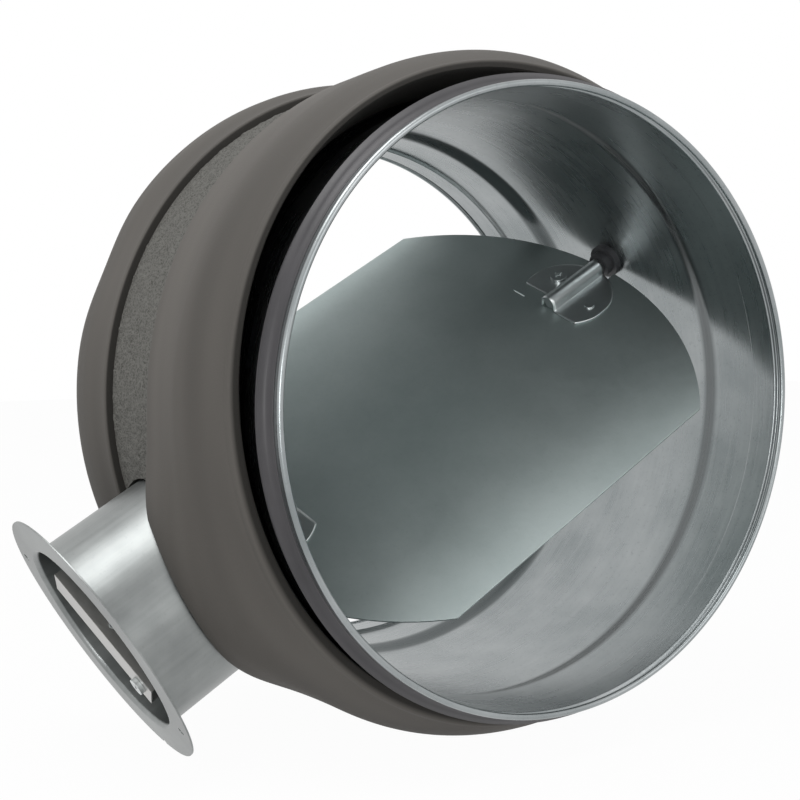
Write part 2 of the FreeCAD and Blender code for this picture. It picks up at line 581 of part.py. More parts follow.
# Blade: a disc with two straight sides, notched at the bushes and punched for its brackets
def blade():
    disc = rod("blade_disc", "Sizes.blade_radius", "Sizes.blade_thick", "0", "0", BLADE_BACK, "+z")
    width = block("blade_width", "2 * Sizes.blade_half_width", "2 * Sizes.blade_radius", "Sizes.blade_thick",
                  "0 - Sizes.blade_half_width", "0 - Sizes.blade_radius", BLADE_BACK)
    cuts = []
    deep = "3 * Sizes.blade_thick"
    under = f"{BLADE_BACK} - Sizes.blade_thick"
    notch_start = "Sizes.bush_reach - Sizes.blade_notch_play"
    for side, sign in (("rear", ""), ("front", "0 -")):
        start = notch_start if side == "rear" else f"0 - ({notch_start}) - 2 * Sizes.blade_notch"
        cuts.append(block(f"{side}_notch", "2 * Sizes.blade_notch", "2 * Sizes.blade_notch", deep,
                          "0 - Sizes.blade_notch", start, under))
        cuts.append(rod(f"{side}_screw_hole", "Sizes.screw_radius + Sizes.hole_play", deep,
                        "0 - Sizes.screw_side", f"{sign} Sizes.screw_place", under, "+z"))
        cuts.append(rod(f"{side}_rivet_hole", "Sizes.rivet_radius + Sizes.hole_play", deep,
                        "Sizes.rivet_side", f"{sign} Sizes.bracket_place", under, "+z"))
        cuts.append(block(f"{side}_slit", "Sizes.bracket_step", "Sizes.blade_thick", deep,
                          "0 - Sizes.slit_side", f"{sign} Sizes.bracket_foot - Sizes.blade_thick / 2",
                          under))
        cuts.append(rod(f"{side}_locating_hole", "Sizes.screw_radius", deep, "0 - Sizes.locating_side",
                        f"{sign} Sizes.bracket_place", under, "+z"))
    hand_in(less("blade_shape", shared("blade_blank", disc, width), cuts), "blade", BLADE)


def channel_bar(name, reach, foot, length, middle):
    """Bar with a flat top and leaning sides that all stand the same distance off the shaft's axis."""
    lean = "Sizes.channel_lean"
    top_half = f"({reach}) * (1 - sin({lean})) / cos({lean})"
    foot_half = f"(({reach}) - ({foot}) * sin({lean})) / cos({lean})"
    body = doc.addObject("PartDesign::Body", name)
    section = outline(body, name + "_outline", "XZ_Plane", [
        (f"0 - {foot_half}", foot),
        (foot_half, foot),
        (top_half, reach),
        (f"0 - {top_half}", reach),
    ])
    pad = body.newObject("PartDesign::Pad", name + "_pad")
    pad.Profile = section
    pad.Midplane = True
    pad.setExpression("Length", length)
    section.Visibility = False
    return bind(body, {"Placement.Base.y": middle})


# Brackets: a half-round plate with a channel that clamps the shaft on the blade
def brackets():
    for side, sign in (("rear", ""), ("front", "0 -")):
        low = "Sizes.bracket_foot" if side == "rear" else "0 - Sizes.bracket_place - Sizes.bracket_radius"
        reach = "Sizes.bracket_place + Sizes.bracket_radius - Sizes.bracket_foot"
        plate = rod(f"{side}_plate_round", "Sizes.bracket_radius", "Sizes.bracket_wall", "0",
                    f"{sign} Sizes.bracket_place", BLADE_TOP, "+z")
        half = block(f"{side}_plate_half", "2 * Sizes.bracket_radius", reach, "Sizes.bracket_wall",
                     "0 - Sizes.bracket_radius", low, BLADE_TOP)
        step_low = "Sizes.bracket_foot" if side == "rear" else "0 - Sizes.bracket_foot - Sizes.bracket_step"
        step = block(f"{side}_plate_step", "Sizes.bracket_radius", "Sizes.bracket_step",
                     "3 * Sizes.bracket_wall", "0 - Sizes.bracket_radius - Sizes.shaft_radius", step_low,
                     f"{BLADE_TOP} - Sizes.bracket_wall")
        flat = less(f"{side}_plate_flat", shared(f"{side}_plate_blank", plate, half), [step])
        long = "Sizes.channel_end - Sizes.bracket_foot"
        middle = f"{sign} (Sizes.channel_end + Sizes.bracket_foot) / 2"
        outer = channel_bar(f"{side}_channel", f"{BORE} + Sizes.bracket_wall", BLADE_TOP, long, middle)
        whole = joined(f"{side}_bracket_solid", [flat, outer])
        inside = channel_bar(f"{side}_channel_inside", BORE, f"{BLADE_TOP} - Sizes.bracket_wall",
                             f"{long} + 2 * Sizes.bracket_wall", middle)
        below = block(f"{side}_under", "4 * Sizes.bracket_radius", f"2 * ({reach})", "2 * Sizes.bracket_wall",
                      "0 - 2 * Sizes.bracket_radius", f"{low} - Sizes.bracket_radius",
                      f"{BLADE_TOP} - 2 * Sizes.bracket_wall")
        holes = [
            rod(f"{side}_bracket_screw_hole", "Sizes.screw_radius + Sizes.hole_play",
                "3 * Sizes.bracket_wall", "0 - Sizes.screw_side", f"{sign} Sizes.screw_place",
                f"{BLADE_TOP} - Sizes.bracket_wall", "+z"),
            rod(f"{side}_bracket_rivet_hole", "Sizes.rivet_radius + Sizes.hole_play",
                "3 * Sizes.bracket_wall", "Sizes.rivet_side", f"{sign} Sizes.bracket_place",
                f"{BLADE_TOP} - Sizes.bracket_wall", "+z"),
        ]
        hand_in(less(f"{side}_bracket_shape", whole, [inside, below] + holes),
                f"{side}_blade_bracket", BLADE)


# Bracket fasteners: one screw with a nut and one rivet at each bracket
def bracket_fasteners():
    top = f"{BLADE_TOP} + Sizes.bracket_wall"
    screws, nuts, rivets = [], [], []
    for side, sign in (("rear", ""), ("front", "0 -")):
        x, y = "0 - Sizes.screw_side", f"{sign} Sizes.screw_place"
        shank = rod(f"{side}_screw_shank", "Sizes.screw_radius",
                    "Sizes.bracket_wall + Sizes.blade_thick + Sizes.nut_tall + 1", x, y,
                    f"{BLADE_BACK} - Sizes.nut_tall - 1", "+z")
        head = rod(f"{side}_screw_head", "Sizes.screw_head", "Sizes.screw_head_tall", x, y, top, "+z")
        recess = [
            block(f"{side}_recess_{k}", a, b, "Sizes.lock_recess * 2", f"{x} - ({a}) / 2", f"{y} - ({b}) / 2",
                  f"{top} + Sizes.screw_head_tall - Sizes.lock_recess")
            for k, (a, b) in enumerate((("Sizes.screw_head", "Sizes.screw_radius / 2"),
                                        ("Sizes.screw_radius / 2", "Sizes.screw_head")))
        ]
        screws.append(less(f"{side}_screw", joined(f"{side}_screw_solid", [shank, head]), recess))

        prism = doc.addObject("Part::Prism", f"{side}_nut_blank")
        prism.Polygon = 6
        bind(prism, {"Circumradius": "Sizes.nut_flats / sqrt(3)", "Height": "Sizes.nut_tall"})
        at(prism, x, y, f"{BLADE_BACK} - Sizes.nut_tall")
        bore = rod(f"{side}_nut_bore", "Sizes.screw_radius + Sizes.hole_play", "Sizes.nut_tall + 2", x, y,
                   f"{BLADE_BACK} - Sizes.nut_tall - 1", "+z")
        nuts.append(less(f"{side}_nut", prism, [bore]))

        x, y = "Sizes.rivet_side", f"{sign} Sizes.bracket_place"
        shank = rod(f"{side}_rivet_shank", "Sizes.rivet_radius", "Sizes.bracket_wall + Sizes.blade_thick",
                    x, y, BLADE_BACK, "+z")
        head = rod(f"{side}_rivet_top", "Sizes.rivet_head", "Sizes.rivet_head_tall", x, y, top, "+z")
        tail = rod(f"{side}_rivet_tail", "Sizes.rivet_head * 0.8", "Sizes.rivet_head_tall", x, y,
                   f"{BLADE_BACK} - Sizes.rivet_head_tall", "+z")
        rivets.append(joined(f"{side}_rivet", [shank, head, tail]))
    for name, pieces in (("bracket_screws", screws), ("bracket_nuts", nuts), ("bracket_rivets", rivets)):
        group = doc.addObject("Part::Compound", name + "_shape")
        group.Links = pieces
        hand_in(group, name, BLADE)


# Shaft in two lengths: an idle pin at the back and the drive shaft through the collar
def shafts():
    start = "Sizes.bracket_foot + Sizes.bracket_wall"
    bevel = "Sizes.shaft_radius / 5"
    tip = "Sizes.pin_end"
    pin = revolved("idle_pin_shape", "XY_Plane", "V_Axis", [
        ("0", start),
        (f"Sizes.shaft_radius - {bevel}", start),
        ("Sizes.shaft_radius", f"{start} + {bevel}"),
        ("Sizes.shaft_radius", f"{tip} - {bevel}"),
        (f"Sizes.shaft_radius - {bevel}", tip),
        ("0", tip),
    ])
    hand_in(pin, "idle_pin", BLADE)

    end = f"{HANDLE_INSIDE} - Sizes.shaft_end_play"
    shaft = rod("drive_shaft_rod", "Sizes.shaft_radius", f"{end} - ({start})", "0", f"0 - ({start})", "0", "-y")
    hole = cross_pin_rod("shaft_cross_hole", "Sizes.cross_pin_radius + Sizes.hole_play", "2 * Sizes.shaft_radius + 2")
    hand_in(less("drive_shaft_shape", shaft, [hole]), "drive_shaft", HANDLE)


def cross_pin_rod(name, radius, length):
    """Rod across the shaft at the height of the handle's pin."""
    return rod(name, radius, length, "0", f"Sizes.cross_pin_drop - {HANDLE_FACE}", f"0 - ({length}) / 2", "+z")


# Handle: a channel-shaped bar pinned on the shaft, its back towards the collar's mouth
def handle():
    web = f"0 - {HANDLE_FACE}"
    bar = block("handle_bar", "Sizes.handle_length", "Sizes.handle_tall", "Sizes.handle_width",
                "0 - Sizes.handle_length / 2", web, "0 - Sizes.handle_width / 2")
    inside = block("handle_inside", "Sizes.handle_length + 2", "Sizes.handle_tall",
                   "Sizes.handle_width - 2 * Sizes.handle_wall", "0 - Sizes.handle_length / 2 - 1",
                   f"{web} + Sizes.handle_wall", "Sizes.handle_wall - Sizes.handle_width / 2")
    pin_holes = cross_pin_rod("handle_pin_holes", "Sizes.cross_pin_radius + Sizes.hole_play",
                              "Sizes.handle_width + 2")
    lock_hole = rod("handle_lock_hole", "Sizes.lock_radius + 2 * Sizes.hole_play", "3 * Sizes.handle_wall",
                    "Sizes.lock_circle", f"Sizes.handle_wall * 2 - {HANDLE_FACE}", "0", "-y")
    hand_in(less("handle_shape", bar, [inside, pin_holes, lock_hole]), "handle", HANDLE)
    pin = cross_pin_rod("handle_pin_rod", "Sizes.cross_pin_radius", "Sizes.handle_width")
    hollow = cross_pin_rod("handle_pin_hollow", "Sizes.cross_pin_bore", "Sizes.handle_width + 2")
    hand_in(less("handle_pin_shape", pin, [hollow]), "handle_pin", HANDLE)


# Dial plate: a cup spot-welded in the collar, with a bush for the shaft and an arc slot
def dial_plate():
    rim = f"{COLLAR_INSIDE} - Sizes.dial_play"
    face = f"0 - {DIAL_FACE}"
    back = f"0 - {DIAL_BACK}"
    edge = f"Sizes.dial_rim - {DIAL_FACE}"
    hole = "Sizes.dial_bush_radius + Sizes.hole_play"
    cup = revolved("dial_cup", "XY_Plane", "V_Axis", [
        (hole, face),
        (rim, face),
        (rim, edge),
        (f"{rim} - Sizes.dial_wall", edge),
        (f"{rim} - Sizes.dial_wall", back),
        (hole, back),
    ])
    wide = "Sizes.lock_radius + Sizes.slot_play"
    deep = "4 * Sizes.dial_wall"
    above = f"0 - {DIAL_FACE} - 2 * Sizes.dial_wall"
    sweep = "Sizes.closed_angle"
    outer = rod("slot_outer", f"Sizes.lock_circle + {wide}", deep, "0", above, "0", "+y")
    outer.setExpression("Angle", sweep)
    inner = rod("slot_inner", f"Sizes.lock_circle - ({wide})", deep, "0", above, "0", "+y")
    arc = less("slot_arc", outer, [inner])
    ends = [
        rod(f"slot_end_{i}", wide, deep, f"Sizes.lock_circle * cos({turn})", above,
            f"0 - Sizes.lock_circle * sin({turn})", "+y")
        for i, turn in enumerate(("0", sweep))
    ]
    slot = joined("dial_slot", [arc] + ends)
    slot.Placement = turned("y", size("handle_lead"))
    hand_in(less("dial_plate_shape", cup, [slot]), "dial_plate", SHAFT)

    bush = revolved("dial_bush_shape", "XY_Plane", "V_Axis", [
        (BORE, f"{face} - Sizes.dial_bush_tall"),
        ("Sizes.dial_bush_flange", f"{face} - Sizes.dial_bush_tall"),
        ("Sizes.dial_bush_flange", face),
        ("Sizes.dial_bush_radius", face),
        ("Sizes.dial_bush_radius", f"{face} + Sizes.dial_bush_long"),
        (BORE, f"{face} + Sizes.dial_bush_long"),
    ])
    hand_in(bush, "dial_bush", SHAFT)


# Lock: a screw through the handle's web and the arc slot, with a spacer and a square nut
def lock():
    x = "Sizes.lock_circle"
    seat = f"({HANDLE_FACE} + Sizes.running_play)"
    length = "(Sizes.dial_gap + Sizes.dial_wall + Sizes.slot_play + Sizes.lock_nut_tall + Sizes.lock_over)"
    shank = rod("lock_shank", "Sizes.lock_radius", length, x, f"{length} - {seat}", "0", "-y")
    head = rod("lock_head_blank", "Sizes.lock_head", "Sizes.lock_head_tall", x, f"0 - {seat}", "0", "-y")
    recess = [
        block(f"lock_recess_{k}", a, "Sizes.lock_recess * 2", b, f"{x} - ({a}) / 2",
              f"0 - {seat} - Sizes.lock_head_tall - Sizes.lock_recess", f"0 - ({b}) / 2")
        for k, (a, b) in enumerate((("Sizes.lock_head", "Sizes.lock_radius / 2"),
                                    ("Sizes.lock_radius / 2", "Sizes.lock_head")))
    ]
    hand_in(less("lock_screw_shape", joined("lock_screw_solid", [shank, head]), recess), "lock_screw", HANDLE)

    start = f"{DIAL_FACE} + Sizes.slot_play"
    tube = rod("lock_tube_blank", "Sizes.lock_tube", f"{HANDLE_INSIDE} - ({start})", x, f"0 - ({start})", "0", "-y")
    bore = rod("lock_tube_bore", "Sizes.lock_radius + 2 * Sizes.hole_play", f"{HANDLE_INSIDE} - ({start}) + 2", x,
               f"1 - ({start})", "0", "-y")
    hand_in(less("lock_spacer_shape", tube, [bore]), "lock_spacer", HANDLE)

    back = f"{DIAL_BACK} - Sizes.slot_play"
    nut = block("lock_nut_blank", "Sizes.lock_nut_side", "Sizes.lock_nut_tall", "Sizes.lock_nut_side",
                f"{x} - Sizes.lock_nut_side / 2", f"0 - ({back})", "0 - Sizes.lock_nut_side / 2")
    bore = rod("lock_nut_bore", "Sizes.lock_radius + Sizes.running_play", "Sizes.lock_nut_tall + 2", x,
               f"Sizes.lock_nut_tall + 1 - ({back})", "0", "-y")
    hand_in(less("lock_nut_shape", nut, [bore]), "lock_nut", HANDLE)


duct_body()
gaskets()
foam()
collar()
collar_rivets()
bushes()
blade()
brackets()
bracket_fasteners()
shafts()
handle()
dial_plate()
lock()
doc.recompute()

# Nothing is written unless every object is sound
for thing in doc.Objects:
    if "Invalid" in thing.State or "Error" in thing.State:
        raise RuntimeError(f"{thing.Name} failed: {thing.State}")
for piece in PARTS:
    if piece.Shape.isNull() or not piece.Shape.isValid() or piece.Shape.Volume <= 0:
        raise RuntimeError(f"{piece.Label} has no sound shape")

os.makedirs("parts", exist_ok=True)
for piece in PARTS:
    piece.Shape.exportStep(f"parts/{piece.Label}.step")
    print(f"{piece.Label}: {len(piece.Shape.Solids)} solids, {piece.Shape.Volume:.1f} mm3")
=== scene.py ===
import math

import bpy
import numpy as np
from mathutils import Matrix, Vector


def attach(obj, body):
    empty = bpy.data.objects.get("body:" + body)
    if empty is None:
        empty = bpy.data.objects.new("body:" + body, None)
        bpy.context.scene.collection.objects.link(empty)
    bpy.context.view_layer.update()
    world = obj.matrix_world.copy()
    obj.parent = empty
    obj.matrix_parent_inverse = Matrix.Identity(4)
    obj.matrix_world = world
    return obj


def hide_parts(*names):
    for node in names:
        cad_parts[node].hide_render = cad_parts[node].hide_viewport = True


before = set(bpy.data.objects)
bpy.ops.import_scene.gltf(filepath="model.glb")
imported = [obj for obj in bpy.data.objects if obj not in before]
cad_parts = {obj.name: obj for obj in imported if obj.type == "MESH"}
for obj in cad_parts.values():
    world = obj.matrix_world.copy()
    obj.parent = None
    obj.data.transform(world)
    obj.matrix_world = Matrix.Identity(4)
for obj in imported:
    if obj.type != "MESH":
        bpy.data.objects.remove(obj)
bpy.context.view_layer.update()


# The duct body is one piece of galvanised sheet, rolled round and drawn: a bead is curled at each
# end, a groove for the gasket is pressed behind it, and a cone leads up to the wider middle.
# X runs along the duct and out of the near end, and "along" counts from that end into the duct. A
# turn of 0 points along the collar, which dips below the level. Lengths are in metres.
DUCT_LONG = 0.230
SPIGOT_RADIUS = 0.156
SHEET = 0.0007
BODY_STEP = 0.0033
SHOULDER_START = 0.050
SHOULDER_RUN = 0.013
GROOVE_START = 0.0035
GROOVE_END = 0.021
GROOVE_DEPTH = 0.0018
GROOVE_SLOPE = 0.0012
BEAD = 0.0016
BEAD_STANDS_OUT = 0.0002
BEAD_MIDDLE = SPIGOT_RADIUS + BEAD_STANDS_OUT - BEAD
BEAD_POINTS = 26
# Degrees where each bead starts on the outside and ends inside the duct.
FAR_CURL = (116, -204)
NEAR_CURL = (24, -296)
# Where the spacing of the sheet's points changes, up to the middle, and the counts from end to end.
SHEET_MARKS = (0.0008, 0.024, 0.049, 0.064)
SHEET_COUNTS = (70, 6, 30, 14, 30, 6, 70)
SHEET_STEPS = 320
DIP = math.radians(30.81992)
COLLAR_WAY = np.array([0.0, -math.cos(DIP), -math.sin(DIP)])
ROUND_WAY = np.cross([1.0, 0.0, 0.0], COLLAR_WAY)
# Radius of worn edges, the tone of specks and the tone of the painted shade on the cones as shares
# of the dark zinc, and how far the colour ramp of that painted shade slopes outside and inside a cone's
# edges.
WORN_EDGE = 0.0004
SPECK_TONE = 0.7
PAINTED_SHADE_TONE = 0.4
CONE_EDGE_OUT = 0.01
CONE_EDGE_IN = 0.02


def smooth_step(x, start, run):
    """0 before start and 1 after start + run, and between them 3t^2 - 2t^3 of the run's share t."""
    t = np.clip((x - start) / run, 0.0, 1.0)
    return t * t * (3.0 - 2.0 * t)


def sheet_radius(along):
    """Outside radius: the spigot's, plus the step inside both cones, less the groove at each end."""
    middle = 1.0
    groove = 0.0
    for end in (along, DUCT_LONG - along):
        middle = middle * smooth_step(end, SHOULDER_START, SHOULDER_RUN)
        groove = groove + (smooth_step(end, GROOVE_START, GROOVE_SLOPE)
                           * (1.0 - smooth_step(end, GROOVE_END - GROOVE_SLOPE, GROOVE_SLOPE)))
    return SPIGOT_RADIUS + BODY_STEP * middle - GROOVE_DEPTH * groove


def arc(along, radius, size, start, end, count):
    """Points of a circular arc: centre plus size times (cosine, sine) of angles in degrees."""
    turn = np.radians(np.linspace(start, end, count))
    return np.stack([along + size * np.cos(turn), radius + size * np.sin(turn)], 1)


def mirrored(profile):
    """The same profile at the duct's other end, in an order that keeps its faces outward."""
    return np.stack([DUCT_LONG - profile[::-1, 0], profile[::-1, 1]], 1)


def round_about(profile, steps, raised=None):
    """Carries a profile of (along, radius) round the duct's axis: -X along, and the radius times
    the cosine and sine of the turn in two directions square to X. raised adds to each radius."""
    turn = np.linspace(0.0, 2.0 * np.pi, steps, endpoint=False)
    radius = profile[:, 1, None] + (0.0 if raised is None else raised(profile, turn))
    circle = np.cos(turn)[:, None] * COLLAR_WAY + np.sin(turn)[:, None] * ROUND_WAY
    points = radius[..., None] * circle
    points[..., 0] = -profile[:, 0, None]
    return points


def added(name, data):
    """A new object of the scene that holds a mesh, a lamp or a camera."""
    holder = bpy.data.objects.new(name, data)
    bpy.context.scene.collection.objects.link(holder)
    return holder


def smoothed(mesh):
    """Shades all faces of a mesh smooth."""
    mesh.polygons.foreach_set("use_smooth", np.ones(len(mesh.polygons), bool))


def placed_by(x_axis, y_axis, z_axis, origin):
    """World matrix from three axes and an origin."""
    rows = np.column_stack([x_axis, y_axis, z_axis, origin])
    return Matrix([*rows.tolist(), (0.0, 0.0, 0.0, 1.0)])


def closed_grid(name, points):
    """Mesh of quads over a grid of points that closes on itself in both directions."""
    rows, columns = points.shape[:2]
    index = np.arange(rows * columns).reshape(rows, columns)
    down = np.roll(index, -1, 0)
    faces = np.stack([index, down, np.roll(down, -1, 1), np.roll(index, -1, 1)], -1).reshape(-1, 4)
    mesh = bpy.data.meshes.new(name)
    mesh.vertices.add(rows * columns)
    mesh.vertices.foreach_set("co", points.reshape(-1))
    mesh.loops.add(faces.size)
    mesh.loops.foreach_set("vertex_index", faces.reshape(-1))
    mesh.polygons.add(len(faces))
    mesh.polygons.foreach_set("loop_start", np.arange(0, faces.size, 4))
    mesh.update(calc_edges=True)
    smoothed(mesh)
    return added(name, mesh)


class Socket:
    """An output of a node. Sums and products of it add Math nodes."""

    def __init__(self, tree, output):
        self.tree = tree
        self.output = output

    def node(self, kind, settings=None, output=0, **values):
        """Adds a node: its settings first, then a value or a link for each socket. A socket goes by
        its name with _ for a space, or by n and its number where names repeat."""
        made = self.tree.nodes.new("ShaderNode" + kind)
        for key, value in (settings or {}).items():
            if key == "stops":
                ramp = made.color_ramp
                while len(ramp.elements) < len(value):
                    ramp.elements.new(0.5)
                for element, (place, level) in zip(ramp.elements, value):
                    element.position = place
                    element.color = (level, level, level, 1.0)
            else:
                setattr(made, key, value)
        for key, value in values.items():
            numbered = key[0] == "n" and key[1:].isdigit()
            socket = made.inputs[int(key[1:]) if numbered else key.replace("_", " ")]
            if isinstance(value, Socket):
                self.tree.links.new(value.output, socket)
            elif isinstance(value, tuple) and len(value) == 3 and socket.type == "RGBA":
                socket.default_value = (*value, 1.0)
            else:
                socket.default_value = value
        return Socket(self.tree, made.outputs[output])

    def maths(self, operation, first, second=0.0):
        return self.node("Math", {"operation": operation}, n0=first, n1=second)

    def __add__(self, other):
        return self.maths("ADD", self, other)

    def __radd__(self, other):
        return self.maths("ADD", other, self)

    def __mul__(self, other):
        return self.maths("MULTIPLY", self, other)

    def __rmul__(self, other):
        return self.maths("MULTIPLY", other, self)

    def mixed(self, first, second):
        """Colour that goes from first to second as this value goes from 0 to 1."""
        return self.node("Mix", {"data_type": "RGBA"}, output=2, n0=self, n6=first, n7=second)

    def clouds(self, size, detail=3.0, roughness=0.5, drawn=(1.0, 1.0, 1.0), turned=(0.0, 0.0, 0.0)):
        """Noise of a size in metres, drawn out by three factors along turned axes."""
        spread = self.node("Mapping", {"vector_type": "TEXTURE"}, Vector=self, Rotation=turned,
                           Scale=drawn)
        return spread.node("TexNoise", Vector=spread, Scale=1.0 / size, Detail=detail,
                           Roughness=roughness)

    def ramp(self, *stops):
        """Grey level that goes through stops of (value, level)."""
        return self.node("ValToRGB", {"stops": stops}, Fac=self)

    def shown(self, kind="OutputMaterial"):
        """Makes this shader the surface of its material or world."""
        out = self.tree.nodes.new("ShaderNode" + kind)
        self.tree.links.new(self.output, out.inputs["Surface"])


def finish(name):
    """A new material, and the Object coordinates that its nodes start from."""
    material = bpy.data.materials.new(name)
    material.use_nodes = True
    material.node_tree.nodes.clear()
    coordinates = material.node_tree.nodes.new("ShaderNodeTexCoord")
    return material, Socket(material.node_tree, coordinates.outputs["Object"])


def surface(place, **values):
    """The shader of a finish, from values or links of its sockets by name."""
    place.node("BsdfPrincipled", **values).shown()


def bumped(height, strength, distance, **edges):
    """Normal of a surface whose height varies by distance metres, over the normal of soft edges."""
    return height.node("Bump", Strength=strength, Distance=distance, Height=height, **edges)


def toned(colour, share):
    """A colour with each of its parts lowered to a share."""
    return tuple(share * value for value in colour)


def cones_to_paint_dark(place):
    """Mask of the painted shade on the cones, 1 on both cones and 0 elsewhere: the share of the way
    from the duct's middle to its end, fed to a colour ramp with short slopes."""
    off_middle = place.node("SeparateXYZ", Vector=place, output="X") + 0.5 * DUCT_LONG
    share = off_middle.maths("ABSOLUTE", off_middle) * (2.0 / DUCT_LONG)
    start, end = (1.0 - 2.0 * edge / DUCT_LONG
                  for edge in (SHOULDER_START + SHOULDER_RUN, SHOULDER_START))
    return share.ramp((start - CONE_EDGE_OUT, 0.0), (start + CONE_EDGE_IN, 1.0),
                      (end - CONE_EDGE_IN, 1.0), (end + CONE_EDGE_OUT, 0.0))


def galvanised(name, dark, light, gloss, drawn=(1.0, 1.0, 1.0), turned=(0.0, 0.0, 0.0),
               specks=0.25, painted_cone_shade=0.0):
    """Zinc on sheet steel: soft clouds of colour and gloss, fine rolling lines, small grey specks
    and edges that are worn round. The last argument paints shade on the drawn cones, darkening them."""
    material, place = finish(name)
    cloud = place.clouds(0.07, detail=4.0, roughness=0.6)
    lines = place.clouds(0.004, detail=2.0, roughness=0.6, drawn=drawn, turned=turned)
    spots = place.clouds(0.0016, detail=1.0).ramp((0.62, 0.0), (0.74, 1.0))
    tone = cloud.ramp((0.32, 0.0), (0.68, 1.0)) * 0.6 + lines * 0.4
    colour = (spots * specks).mixed(tone.mixed(dark, light), toned(dark, SPECK_TONE))
    # Painted shade: the drawn cones are darkened towards a low tone of the dark zinc.
    if painted_cone_shade:
        colour = (cones_to_paint_dark(place) * painted_cone_shade).mixed(colour, toned(dark, PAINTED_SHADE_TONE))
    smooth, matt = gloss
    surface(place, Base_Color=colour, Metallic=1.0,
            Roughness=smooth + (matt - smooth) * (cloud * 0.5 + lines * 0.5),
            Normal=bumped(lines + 0.4 * cloud, strength=0.2, distance=0.0003,
                          Normal=place.node("Bevel", {"samples": 4}, Radius=WORN_EDGE)))
    return material


def wear(node, material):
    """Gives a piece of the frame its finish."""
    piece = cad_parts[node]
    for holder in piece.material_slots:
        holder.material = material


def dress(piece, material, body, slot, *nodes):
    """Gives a new piece its finish, the body that it rides on and the frame pieces it replaces."""
    piece.data.materials.clear()
    piece.data.materials.append(material)
    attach(piece, body)
    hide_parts(*nodes)


marks = SHEET_MARKS + tuple(DUCT_LONG - mark for mark in reversed(SHEET_MARKS))
along = np.unique(np.concatenate([
    np.linspace(start, end, count) for start, end, count in zip(marks, marks[1:], SHEET_COUNTS)]))
outside = np.stack([along, sheet_radius(along)], 1)
within = along[(along > BEAD) & (along < DUCT_LONG - BEAD)]
inside = np.stack([within, sheet_radius(within) - SHEET], 1)[::-1]
duct_profile = np.concatenate([
    outside,
    arc(DUCT_LONG, BEAD_MIDDLE, BEAD, *FAR_CURL, BEAD_POINTS),
    inside,
    arc(0.0, BEAD_MIDDLE, BEAD, *NEAR_CURL, BEAD_POINTS)])
duct = closed_grid("duct_casing", round_about(duct_profile, SHEET_STEPS))
# The sheet's drawn cones get painted shade.
zinc = galvanised("galvanised_sheet", dark=(0.21, 0.235, 0.24), light=(0.41, 0.43, 0.435),
                  gloss=(0.2, 0.36), drawn=(1.0, 16.0, 16.0), painted_cone_shade=0.8)
dress(duct, zinc, "casing", "galvanised_sheet", "duct_body")


# A rubber gasket lies in each groove: an extruded strip that stands level with the sheet, with two
# thin free lips that lean away from the spigot's end.
GASKET_FLOOR = 0.1544
GASKET_TOP = 0.1561
STRIP_ROUNDING = 0.0004
STRIP_FRONT = (0.0048, 0.0044, 0.0050)
STRIP_BACK = (0.0195, 0.0200, 0.0196)
# Each lip by the place of its foot and its rise, and the points round a lip: the distance along
# from the foot, the share of the rise, and a small step added to that.
LIPS = ((0.0062, 0.0048), (0.0126, 0.0026))
LIP_POINTS = ((0.0, 0.0, 0.0), (0.0016, 0.45, 0.0), (0.0036, 1.0, 0.0), (0.0041, 1.0, 0.0),
              (0.0041, 1.0, -0.0005), (0.0026, 0.3, 0.0), (0.0022, 0.0, -0.0001))


def gasket_profile():
    """Strip from floor to top with two lips, each a thin wedge with a rounded tip."""
    heights = (GASKET_FLOOR, GASKET_TOP - STRIP_ROUNDING, GASKET_TOP)
    points = list(zip(STRIP_FRONT, heights))
    for foot, rise in LIPS:
        points += [(foot + lean, GASKET_TOP + share * rise + step) for lean, share, step in LIP_POINTS]
    points += zip(STRIP_BACK, reversed(heights))
    return np.array(points)


rubber, place = finish("gasket_rubber")
fine = place.clouds(0.0022, detail=2.0, roughness=0.6, drawn=(1.0, 20.0, 20.0))
dust = place.clouds(0.03, roughness=0.6)
surface(place, Roughness=0.34 + 0.2 * fine, Normal=bumped(fine, strength=0.3, distance=0.0003),
        Base_Color=(dust * 0.5 + fine * 0.5).mixed((0.012, 0.012, 0.014), (0.072, 0.068, 0.074)))
near_profile = gasket_profile()
for node, profile in (("near_gasket", near_profile), ("far_gasket", mirrored(near_profile))):
    strip = closed_grid(node + "_strip", round_about(profile, SHEET_STEPS))
    dress(strip, rubber, "casing", "gasket_rubber", node)


# The insulation is grey-brown closed-cell foam, 20 mm thick, bent round the casing in two smooth
# bands. Soft bands of painted shade run round them, and painted shade darkens their cut edges and
# inner side. Each band stands open at its end, so that the insulation of the next duct goes under it,
# and the near band is cut for the collar and pushed up along its near side.
FOAM_STEPS = 420
FOAM_INSIDE = 0.1595
FOAM_OUTSIDE = 0.1793
NEAR_LIP = 0.024
NEAR_CREST = 0.062
NEAR_BAND_EDGE = 0.095
FAR_LIP = 0.010
FAR_CREST = 0.043
FAR_BAND_EDGE = 0.157
LIP_INSIDE = 0.1612
LIP_OUTSIDE = 0.1682
LIP_CORNER = 0.0035
LIP_CORNER_INSIDE = 0.0008
LIP_FALL = 1.7
CORNER = 0.0014
CREST_GAP = 0.002
EDGE_GAP = 0.004
BODY_START = 0.063
CONE_PLACE = 0.055
CONE_RADIUS = 0.1601
# Points of a band inside this radius belong to its inner face, and those past the run to the outer.
FACE_START = 0.166
FACE_RUN = 0.006
# The mound that the collar pushes up.
SHAFT_ALONG = 0.125
COLLAR_RADIUS = 0.0546
MOUND = 0.0153
MOUND_RUN = 0.0250
